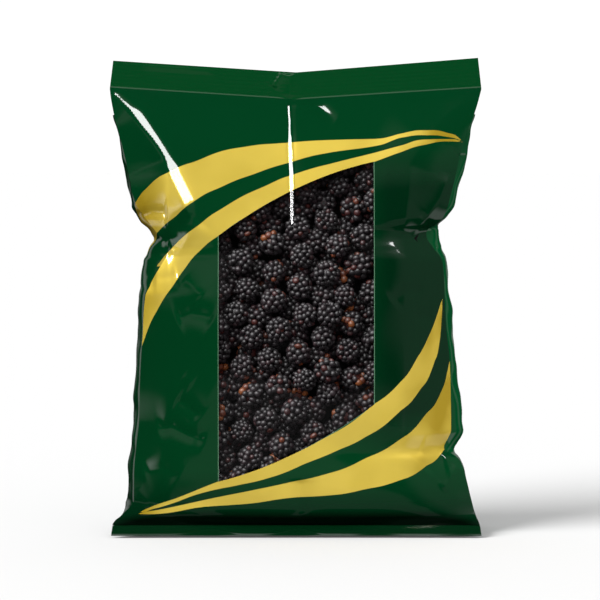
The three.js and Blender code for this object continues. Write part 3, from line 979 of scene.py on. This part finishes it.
along = np.linspace(-1, 1, 241)[None, :]
rise = np.linspace(0, 1, 31)[:, None]
x = along * (TOP_HALF - 2.3 * rise) - 0.5
z = seal_line(x) + (top_edge(x) - seal_line(x)) * rise
above = z - seal_line(x)
crimp = 0.03 * np.sin(2 * math.pi * above / TOP_CRIMP) + 0.25 * np.exp(-((above / 0.5) ** 2))
pucker = stroke(x, z, [(-9, 314), (-12, 309), (-15.5, 303.5)], 1.1, 2.2, 0.3)
pucker += stroke(x, z, [(-5, 313), (-4, 306), (-5, 296)], 0.8, 2.5, 0.5)
pucker += stroke(x, z, [(-106, 318), (-80, 316), (-55, 314)], 0.35, 1.6, 0.4)
sway = ripple(x, z * 0.4, seed=31, count=8, short=20, long=90, height=0.5) * 0.6
front = grid_points(x, PLANE_Y - SEAL_HALF + sway * rise - crimp - pucker, z)
rear = grid_points(x, PLANE_Y + SEAL_HALF + sway * rise - pucker * 0.6, z)
top_mesh = slab("top_band", front, rear)
add_piece("top_band", top_mesh, seal, ["top_seal"])
print("top seal faces:", len(top_mesh.polygons))

# %% [markdown]
# ## The bottom seal
# It is folded forward under the bag, so it slopes from the crease down to its free edge. Near that edge
# runs a raised lip, which wanders up in two humps. A flat strip could be bent into place with a Simple
# Deform modifier, but its upper edge has to follow the crease, so it is worked out from the same depths.

# %%
INNER_HALF = 121.5  # past this the flap keeps its depth, while the crease behind it turns back

rise = np.linspace(0, 1, 33)[:, None]
x = along * (BOTTOM_HALF - 0.6 * rise)
inner_x = np.clip(x, -INNER_HALF, INNER_HALF)
crease_y = PLANE_Y - depth_of(front_depth, front_fold_depth, inner_x, CREASE_Z + 0 * x)
y = crease_y - 0.3 - FLAP_REACH * (1 - rise)
z = LIP_Z + (CREASE_Z - 0.2 - LIP_Z) * rise**0.8
line = LIP_Z + 1.3 + 2.6 * np.exp(-(((x + 57) / 12) ** 2)) + 3 * np.exp(-(((x - 1) / 10) ** 2))
lip = 0.3 * np.exp(-np.abs(z - line) / 0.35) * np.clip(rise / 0.1, 0, 1)
waves = ripple(x, z, seed=41, count=8, short=12, long=60, height=0.35) * rise * (1 - rise) * 4
front = grid_points(x, y - SEAL_HALF - lip + waves, z)
rear = grid_points(x, y + 0 * z, z)
flap_mesh = slab("bottom_flap", front, rear)
add_piece("bottom_flap", flap_mesh, seal_low, ["bottom_seal"])
print("bottom seal faces:", len(flap_mesh.polygons))

# %% [markdown]
# ## The skin of a berry
# Dried fruit is dull and nearly black, and a drupelet here and there has gone rusty. Each drupelet
# carries one random number, its tint, and a colour ramp turns it into a colour. A noise texture would
# cut across the drupelets instead.

# %%
RUST = ((0.5, (44, 36, 41)), (0.84, (60, 42, 48)), (0.91, (92, 36, 34)), (0.955, (132, 64, 36)))

skin, tree, shader = new_material("berry_skin")
ramp = tree.nodes.new("ShaderNodeValToRGB")
tree.links.new(attribute(tree, "tint"), ramp.inputs["Fac"])
stops = ramp.color_ramp.elements
stops[0].position, stops[0].color = 0.0, linear(38, 32, 35)
stops[1].position, stops[1].color = 1.0, linear(176, 98, 48)
for position, colour in RUST:
    stops.new(position).color = linear(*colour)
tree.links.new(ramp.outputs["Color"], shader.inputs["Base Color"])
shader.inputs["Roughness"].default_value = 0.5
shader.inputs["Specular IOR Level"].default_value = 0.5
print("colours of the skin:", len(stops))

# %% [markdown]
# ## One tree for every berry
# A bramble berry is a bunch of small round drupelets on a core. Each berry could be sculpted, but they
# all follow one rule, and Geometry Nodes repeat a rule with other numbers. The inputs are the berry's
# sizes in metres, a seed, and two tints: `Rusty` is the most that a drupelet gets, `Between` the core's.

# %%
RADIUS = 0.0095

berry = bpy.data.node_groups.new("bramble_berry", "GeometryNodeTree")
for name, kind, value in (
    ("Radius", "NodeSocketFloat", RADIUS),
    ("Drupelet", "NodeSocketFloat", 0.0016),
    ("Spacing", "NodeSocketFloat", 0.0024),
    ("Length", "NodeSocketFloat", 0.95),
    ("Seed", "NodeSocketInt", 1),
    ("Segments", "NodeSocketInt", 8),
    ("Rings", "NodeSocketInt", 5),
    ("Rusty", "NodeSocketFloat", 0.9),
    ("Between", "NodeSocketFloat", 0.0),
):
    socket = berry.interface.new_socket(name, in_out="INPUT", socket_type=kind)
    socket.default_value = value
berry.interface.new_socket("Geometry", in_out="OUTPUT", socket_type="NodeSocketGeometry")
add, link = berry.nodes.new, berry.links.new
given = add("NodeGroupInput").outputs
print("inputs of the berry tree:", len(given) - 1)

# %% [markdown]
# ## Helpers for the berry tree
# A ball squashed along its axis serves twice: as the core, and as the surface on which drupelets sit. In
# the editor this would be a node group of its own. In a script a function that adds the nodes is simpler.
# A tint is stored on points for the core, and on whole instances for the drupelets.


# %%
def calculate(operation, first, second):
    return math_node(berry, operation, first, second)


def squashed_ball(radius, subdivisions):
    ball = add("GeometryNodeMeshIcoSphere")
    ball.inputs["Subdivisions"].default_value = subdivisions
    link(radius, ball.inputs["Radius"])
    scale = add("ShaderNodeCombineXYZ")
    wire(berry, scale.inputs, (1, 1, given["Length"]))
    squash = add("GeometryNodeTransform")
    link(ball.outputs["Mesh"], squash.inputs["Geometry"])
    link(scale.outputs[0], squash.inputs["Scale"])
    return squash.outputs["Geometry"]


def with_tint(mesh, value, domain):
    node = add("GeometryNodeStoreNamedAttribute")
    node.domain = domain
    node.inputs["Name"].default_value = "tint"
    link(mesh, node.inputs["Geometry"])
    link(value, node.inputs["Value"])
    return node.outputs["Geometry"]


seat = calculate("SUBTRACT", given["Radius"], given["Drupelet"])
place = add("ShaderNodeSeparateXYZ")
link(add("GeometryNodeInputPosition").outputs[0], place.inputs[0])
high = calculate("DIVIDE", place.outputs["Z"], given["Radius"])
print("berry tree nodes so far:", len(berry.nodes))

# %% [markdown]
# ## The core and its hollow
# A picked berry has a small hollow where its stalk sat. A Boolean could cut it. Mirroring the core's end
# inwards is cheaper and leaves a clean round pit. A pale ring lies just under its brim.

# %%
RING = (0.55, 0.58)  # in shares of the radius above the middle
MIRROR = 1.1  # twice the height at which the end is mirrored, in the same shares

over_its_foot = calculate("GREATER_THAN", high, RING[0])
under_its_top = calculate("LESS_THAN", high, RING[1])
in_ring = calculate("MULTIPLY", over_its_foot, under_its_top)
core = squashed_ball(calculate("MULTIPLY", seat, 0.8), 3)
core_tint = calculate("MAXIMUM", calculate("MULTIPLY", in_ring, 0.93), given["Between"])
core = with_tint(core, core_tint, "POINT")
mirrored = calculate("SUBTRACT", calculate("MULTIPLY", given["Radius"], MIRROR), place.outputs["Z"])
dent = add("ShaderNodeCombineXYZ")
inward = calculate("MINIMUM", place.outputs["Z"], mirrored)
wire(berry, dent.inputs, (place.outputs["X"], place.outputs["Y"], inward))
hollow = add("GeometryNodeSetPosition")
link(core, hollow.inputs["Geometry"])
link(dent.outputs[0], hollow.inputs["Position"])
print("berry tree nodes with the core:", len(berry.nodes))

# %% [markdown]
# ## Drupelets on the core
# Points are spread over the outer ball, no two nearer than the spacing, so they crowd as evenly as real
# drupelets. Those at the stalk's end go. Each of the others gets a small ball, a little larger, smaller,
# rounder or flatter than the next.

# %%
BARE_ABOVE = 0.7

spread = add("GeometryNodeDistributePointsOnFaces")
spread.distribute_method = "POISSON"
spread.inputs["Density Max"].default_value = 9e6
link(squashed_ball(seat, 4), spread.inputs["Mesh"])
link(given["Spacing"], spread.inputs["Distance Min"])
link(given["Seed"], spread.inputs["Seed"])
clear_end = add("GeometryNodeDeleteGeometry")
clear_end.domain = "POINT"
link(spread.outputs["Points"], clear_end.inputs["Geometry"])
link(calculate("GREATER_THAN", high, BARE_ABOVE), clear_end.inputs["Selection"])
drupelet = add("GeometryNodeMeshUVSphere")
for name, size in (("Rings", "Rings"), ("Segments", "Segments"), ("Radius", "Drupelet")):
    link(given[size], drupelet.inputs[name])
vary = add("FunctionNodeRandomValue")
vary.data_type = "FLOAT_VECTOR"
vary.inputs["Min"].default_value = (0.8, 0.8, 0.75)
vary.inputs["Max"].default_value = (1.22, 1.22, 1.25)
link(given["Seed"], vary.inputs["Seed"])
put = add("GeometryNodeInstanceOnPoints")
link(clear_end.outputs["Geometry"], put.inputs["Points"])
link(drupelet.outputs["Mesh"], put.inputs["Instance"])
link(spread.outputs["Rotation"], put.inputs["Rotation"])
link(vary.outputs["Value"], put.inputs["Scale"])
print("berry tree nodes with the drupelets:", len(berry.nodes))

# %% [markdown]
# ## Tints, and the end of the tree
# The tint is stored on each drupelet while it is still an instance, so all of its points get the same
# one. Once real, they could each get their own, and the drupelet would be speckled. Then core and
# drupelets are joined, made real, shaded smooth and painted.

# %%
TINT_SEED = 77  # keeps the tints apart from the sizes

chance = add("FunctionNodeRandomValue")
chance.data_type = "FLOAT"
link(calculate("ADD", given["Seed"], TINT_SEED), chance.inputs["Seed"])
value = [output for output in chance.outputs if output.enabled][0]
drupelets = with_tint(put.outputs["Instances"], calculate("MULTIPLY", value, given["Rusty"]), "INSTANCE")
join = add("GeometryNodeJoinGeometry")
link(hollow.outputs["Geometry"], join.inputs[0])
link(drupelets, join.inputs[0])
real = add("GeometryNodeRealizeInstances")
link(join.outputs[0], real.inputs[0])
smooth_faces = add("GeometryNodeSetShadeSmooth")
link(real.outputs[0], smooth_faces.inputs[0])
painted = add("GeometryNodeSetMaterial")
painted.inputs["Material"].default_value = skin
link(smooth_faces.outputs[0], painted.inputs[0])
link(painted.outputs[0], add("NodeGroupOutput").inputs[0])
print("berry tree nodes:", len(berry.nodes))

# %% [markdown]
# ## A few berries to choose from
# Fifty different berries would be slow to grow and no richer to look at, since each is turned its own
# way. Six kinds are grown once, as plain meshes about their own middles. The modifier goes before a piece
# is handed to the frame. Kinds for the layer behind are coarser.


# %%
def grow(seed, segments, rings, **sizes):
    mesh = bpy.data.meshes.new("seedling")
    holder = bpy.data.objects.new("seedling", mesh)
    bpy.context.scene.collection.objects.link(holder)
    modifier = holder.modifiers.new("grow", "NODES")
    modifier.node_group = berry
    names = {item.name: item.identifier for item in berry.interface.items_tree}
    for name, value in dict(sizes, Seed=seed, Segments=segments, Rings=rings).items():
        modifier[names[name]] = value
    bpy.context.view_layer.update()
    grown = bpy.data.meshes.new_from_object(holder.evaluated_get(bpy.context.evaluated_depsgraph_get()))
    bpy.data.objects.remove(holder)
    return grown


NEAR_DETAIL, FAR_DETAIL = (9, 6), (7, 4)  # segments and rings of a drupelet
KINDS = 6
RUSTY = (0.93, 1.0, 0.9, 1.0, 0.96, 0.98)  # for each kind, its most rusty drupelet
BETWEEN = (0.0, 0.9, 0.0, 0.86, 0.0, 0.0)  # for each kind, the tint of its core
dice = np.random.default_rng(3)
near_kinds, far_kinds = [], []
for seed in range(1, KINDS + 1):
    spacing = float(dice.uniform(0.0032, 0.0038))
    shape = {
        "Spacing": spacing,
        "Drupelet": spacing * 0.64,
        "Length": float(dice.uniform(0.88, 1.04)),
        "Rusty": RUSTY[seed - 1],
        "Between": BETWEEN[seed - 1],
    }
    near_kinds.append(grow(seed, *NEAR_DETAIL, **shape))
    far_kinds.append(grow(seed, *FAR_DETAIL, **shape))
print("faces of the kinds:", [len(kind.polygons) for kind in near_kinds])

# %% [markdown]
# ## The front layer
# The berries that press against the window. Dropping them in a physics simulation would pack them well,
# but the CAD model has already done the packing. So every CAD berry gets one of the kinds, turned at
# random and scaled to the CAD berry's box.


# %%
def place_berry(kind, centre, radius):
    mesh = kind.copy()
    turned = Euler(dice.uniform(0, 2 * math.pi, 3)).to_matrix().to_4x4()
    size = Matrix.Diagonal([*(radius / RADIUS * dice.uniform(0.99, 1.08, 3)), 1])
    mesh.transform(Matrix.Translation(centre) @ turned @ size)
    return mesh


balls = []
for node in sorted(name for name in frame["nodes"] if name.startswith("berry_") and name != "berry_bed"):
    low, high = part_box(node)
    centre = (low + high) / 2
    radius = (high.x - low.x) / 2
    balls.append((centre.x, centre.y, centre.z, radius))
    kind = near_kinds[int(dice.integers(KINDS))]
    mesh = place_berry(kind, centre, radius)
    mesh.name = "fruit_" + node[-2:]
    add_piece(mesh.name, mesh, skin, [node])
print("front berries:", len(balls))

# %% [markdown]
# ## Where a berry comes to rest
# More fruit shows in the gaps of the front layer. `depth` holds, for every place behind the window, how
# near to the film one more berry could lie. Each berry pushes it back round itself. Rigid bodies could
# be dropped in instead, but this is quicker and gives the same heap every time.

# %%
REST_RADIUS = 0.0094
STEP = 1.5
CLEARANCE = 1.5  # from the film to the nearest berry behind it
SQUEEZE = 0.86  # dried berries press into each other

grid_x, grid_z = np.meshgrid(np.arange(-54, 54.1, STEP), np.arange(18, 262, STEP))
allowed = (grid_z > window_low(grid_x) - 4) & (grid_z < window_high(grid_x) + 4)
grid_x, grid_z = grid_x[allowed], grid_z[allowed]
film_y = front_y(grid_x, grid_z)
resting = REST_RADIUS * 1000
depth = film_y + CLEARANCE + resting


def push_back(depth, ball):
    x, y, z, radius = ball
    reach = SQUEEZE * (radius + resting)
    away = np.hypot(grid_x - x, grid_z - z)
    touching = y + np.sqrt(np.maximum(0, reach**2 - away**2))
    return np.where(away < reach, np.maximum(depth, touching), depth)


for x, y, z, r in balls:
    depth = push_back(depth, (x * 1000, y * 1000, z * 1000, r * 1000))
print("places for a berry behind:", len(depth))

# %% [markdown]
# ## The layer behind
# Again and again a berry takes the place that is nearest to the film. Each could be a piece of its own.
# They are joined to two, because nobody moves them one by one, and one would have too many faces.

# %%
BEHIND = 84

hidden = []
for _ in range(BEHIND):
    k = int(np.argmin(depth - film_y))
    ball = (grid_x[k], depth[k], grid_z[k], resting)
    kind = far_kinds[int(dice.integers(KINDS))]
    hidden.append(place_berry(kind, Vector(ball[:3]) * MM, REST_RADIUS))
    depth = push_back(depth, ball)
for name, part in (("fruit_behind_1", hidden[::2]), ("fruit_behind_2", hidden[1::2])):
    behind_mesh = join_meshes(name, part)
    add_piece(name, behind_mesh, skin, [])
print("berries behind:", len(hidden), "faces in the last half:", len(behind_mesh.polygons))

# %% [markdown]
# ## The pressed fruit
# Deeper in, the berries are one mass in shade. Only specks of it show, so the CAD solid stays as it is and
# gets a dull material, painted darker than the berry skin: painted shade, nearly black.

# %%
bed = frame["nodes"]["berry_bed"]
bed.data.materials.clear()
dark, tree, shader = new_material("berry_dark")
# painted shade: darker than the skin of the front berries
shader.inputs["Base Color"].default_value = linear(16, 12, 13)
shader.inputs["Roughness"].default_value = 0.8
bed.data.materials.append(dark)
print("faces of the pressed fruit:", len(bed.data.polygons))

# %% [markdown]
# ## Soft boxes round the bag
# A glossy film shows what stands round it, so a studio is built for the film to mirror. Panels with lights
# could stand there. Painting them on the world is lighter: each soft box is a patch of directions, and
# reflections alone see it. Azimuth 0 is the side that the bag faces, and it is negative to the left of
# someone who stands there and looks at the bag.

# %%
DARK_ROOM = 0.012
# Each: azimuth from and to, elevation from and to, softness of its edges, radiance.
SOFTBOXES = (
    (20, 60, 25, 76, 8, 0.25),
    (-82, -58, -24, -6, 3, 2.2),
    (41, 90, -12, 40, 4, 0.17),
    (-41, 46, -26, -4.5, 1.2, 0.15),
    (150, 172, -10, 50, 6, 0.3),
    (-168, -140, 0, 60, 6, 0.4),
    (-120, -102, -40, 50, 4, 1.1),
    (-62, -28, 10, 18, 6, 0.4),
    (104, 118, -40, 50, 3, 0.3),
    (58, 90, -38, -16, 3, 1.0),
)


def softboxes(tree, direction):
    to_left = math_node(tree, "MULTIPLY", direction.outputs["Y"], -1.0)
    azimuth = math_node(tree, "DEGREES", math_node(tree, "ARCTAN2", direction.outputs["X"], to_left), 0)
    elevation = math_node(tree, "DEGREES", math_node(tree, "ARCSINE", direction.outputs["Z"], 0), 0)
    total = DARK_ROOM
    for west, east, low, high, soft, radiance in SOFTBOXES:
        box = radiance
        for angle, start, end in ((azimuth, west, east), (elevation, low, high)):
            box = math_node(tree, "MULTIPLY", soft_step(tree, angle, start - soft, start + soft), box)
            box = math_node(tree, "MULTIPLY", soft_step(tree, angle, end + soft, end - soft), box)
        total = math_node(tree, "ADD", box, total)
    return total


print("soft boxes:", len(SOFTBOXES))

# %% [markdown]
# ## The world
# It is three things at once: a soft sky that lights the colours, the soft boxes for reflections, and
# white for the camera. An image of a studio would do, but it is a file to carry along, and it is the same
# for all. Here a Light Path node tells which kind of ray is asking.

# %%
AMBIENT = 0.66  # what the sky adds straight above
BELOW = 0.05  # from the horizon down
CAMERA_WHITE = 1.05

world = bpy.data.worlds.new("studio")
bpy.context.scene.world = world
world.use_nodes = True
tree = world.node_tree
tree.nodes.clear()
direction = tree.nodes.new("ShaderNodeSeparateXYZ")
tree.links.new(tree.nodes.new("ShaderNodeTexCoord").outputs["Generated"], direction.inputs[0])
up = soft_step(tree, direction.outputs["Z"], 0.0, 0.75)
sky = math_node(tree, "ADD", math_node(tree, "MULTIPLY", up, AMBIENT), BELOW)
path = tree.nodes.new("ShaderNodeLightPath")
for ray, level in (("Is Glossy Ray", softboxes(tree, direction)), ("Is Camera Ray", CAMERA_WHITE)):
    kept = math_node(tree, "MULTIPLY", sky, math_node(tree, "SUBTRACT", 1.0, path.outputs[ray]))
    sky = math_node(tree, "ADD", kept, math_node(tree, "MULTIPLY", path.outputs[ray], level))
background = tree.nodes.new("ShaderNodeBackground")
tree.links.new(sky, background.inputs["Strength"])
background.inputs["Color"].default_value = (1, 1, 1, 1)
output = tree.nodes.new("ShaderNodeOutputWorld")
tree.links.new(background.outputs[0], output.inputs[0])
bpy.context.scene.view_settings.view_transform = "Standard"
print("world nodes:", len(tree.nodes))

# %% [markdown]
# ## The floor
# A white sheet that takes the bag's shadow. A shadow catcher would do it too, but a plain matt floor needs
# no second layer. It throws no light back and isn't mirrored, and it glows a little, so that it comes out
# as white as the world behind it.

# %%
floor_mesh = bpy.data.meshes.new("floor")
floor_mesh.from_pydata([(-30, -30, 0), (30, -30, 0), (30, 60, 0), (-30, 60, 0)], [], [(0, 1, 2, 3)])
floor = bpy.data.objects.new("floor", floor_mesh)
bpy.context.scene.collection.objects.link(floor)
white, tree, shader = new_material("floor_white")
shader.inputs["Base Color"].default_value = (0.74, 0.74, 0.74, 1)
shader.inputs["Roughness"].default_value = 1.0
shader.inputs["Specular IOR Level"].default_value = 0.0
shader.inputs["Emission Color"].default_value = (1, 1, 1, 1)
shader.inputs["Emission Strength"].default_value = 0.07
floor_mesh.materials.append(white)
floor.visible_glossy = False
floor.visible_diffuse = False
print("floor:", floor.dimensions[:2])

# %% [markdown]
# ## Two kinds of light
# A sun lights colours and throws shadows, and isn't mirrored. A card is the opposite: a rectangle of
# light that only reflections see. Splitting them lets gloss and colour be set one by one, and light
# linking keeps each one to the pieces it is for.


# %%
def toward(azimuth, elevation):
    a, e = math.radians(azimuth), math.radians(elevation)
    return Vector((math.sin(a) * math.cos(e), -math.cos(a) * math.cos(e), math.sin(e)))


def aim(obj, direction):
    obj.rotation_euler = direction.to_track_quat("Z", "Y").to_euler()


def sun(name, azimuth, elevation, strength, angle):
    light = bpy.data.lights.new(name, "SUN")
    light.energy, light.angle = strength, math.radians(angle)
    obj = bpy.data.objects.new(name, light)
    bpy.context.scene.collection.objects.link(obj)
    aim(obj, toward(azimuth, elevation))
    obj.visible_glossy = False
    return obj


def card(name, azimuth, elevation, width, height, radiance, distance=10):
    """radiance is how bright the card looks, whatever its size."""
    light = bpy.data.lights.new(name, "AREA")
    light.shape, light.size, light.size_y = "RECTANGLE", width, height
    light.energy = radiance * math.pi * width * height
    obj = bpy.data.objects.new(name, light)
    bpy.context.scene.collection.objects.link(obj)
    direction = toward(azimuth, elevation)
    obj.location = Vector((0, 0, 0.16)) + direction * distance
    aim(obj, direction)
    obj.visible_diffuse = False
    obj.visible_camera = False
    obj.visible_transmission = False
    return obj


def only_for(light, receivers):
    group = bpy.data.collections.new(light.name + "_receivers")
    for piece in receivers:
        group.objects.link(piece)
    light.light_linking.receiver_collection = group


def pieces(*names):
    return [bpy.data.objects[name] for name in names]


print("front of the bag looks toward", toward(0, 0)[:])

# %% [markdown]
# ## The suns
# One soft key from the upper left throws the shadow on the floor. One sun for everything would be closer
# to a real room. But little light gets in to the fruit through the printed film, so it has weaker suns of
# its own. The film has two in front, and others from the right and from behind.

# %%
fruit = [piece for piece in bpy.data.objects if piece.name.startswith("fruit_")]
film = pieces("front_film", "front_crease", "clear_window", "left_side", "right_side")
film += pieces("top_band", "bottom_flap")
behind = pieces("back_film", "back_lap", "base_film")
only_for(sun("key", -60, 28, 4.5, 36), [floor])
only_for(sun("key_on_the_fruit", -60, 28, 1.7, 36), fruit)
only_for(sun("fill_on_the_fruit", 10, 2, 0.6, 60), fruit)
only_for(sun("key_on_the_film", 0, 20, 0.85, 36), film)
only_for(sun("fill", 10, 2, 2.0, 60), film)
only_for(sun("from_the_right", 112, 15, 1.6, 30), film + behind)
only_for(sun("on_the_right_side", 112, 15, 2.0, 30), pieces("right_side"))
only_for(sun("from_behind", 205, 20, 2.6, 40), film + behind)
print("suns:", len(bpy.data.lights))

# %% [markdown]
# ## The cards
# Each bright mark on the film is the mirror image of one card: along the two long ridges, on the lip of
# the bottom seal, and along the line and the pucker of the top seal. They are large and far away, so a
# mark hardly moves along a ridge. The overhead one is nearer and gives the fruit its small glints.

# %%
only_for(card("overhead", -35, 48, 2.4, 1.8, 12, distance=2), fruit)
front = pieces("front_film", "clear_window")
only_for(card("for_the_left_ridge", 45, 51, 2.2, 6.3, 20), front)
only_for(card("for_the_middle_ridge", -85, 23, 2.0, 7, 28), front)
only_for(card("for_the_lip", 0, 32, 16, 5, 1.6), pieces("bottom_flap"))
only_for(card("for_the_seam", 0, 30, 16, 3, 1.2), pieces("top_band"))
only_for(card("for_the_pucker", -50, 20, 5, 5, 12), pieces("top_band"))
print("lights in all:", len(bpy.data.lights))

# %% [markdown]
# ## Camera
# A long lens from a little above the middle, straight from the front. From near by, a wide lens would
# show the same bag with a swollen middle. A long one keeps the outline upright.

# %%
TARGET = Vector((2.5, 0, 158.5)) * MM
DISTANCE = 1.8
CAMERA_HEIGHT = 3  # degrees above level

camera_data = bpy.data.cameras.new("camera")
camera_data.lens = 157.9
camera_data.sensor_width = 36
camera = bpy.data.objects.new("camera", camera_data)
bpy.context.scene.collection.objects.link(camera)
direction = toward(0, CAMERA_HEIGHT)
camera.location = TARGET + direction * DISTANCE
aim(camera, direction)
bpy.context.scene.camera = camera
print("camera at", [round(value, 3) for value in camera.location])
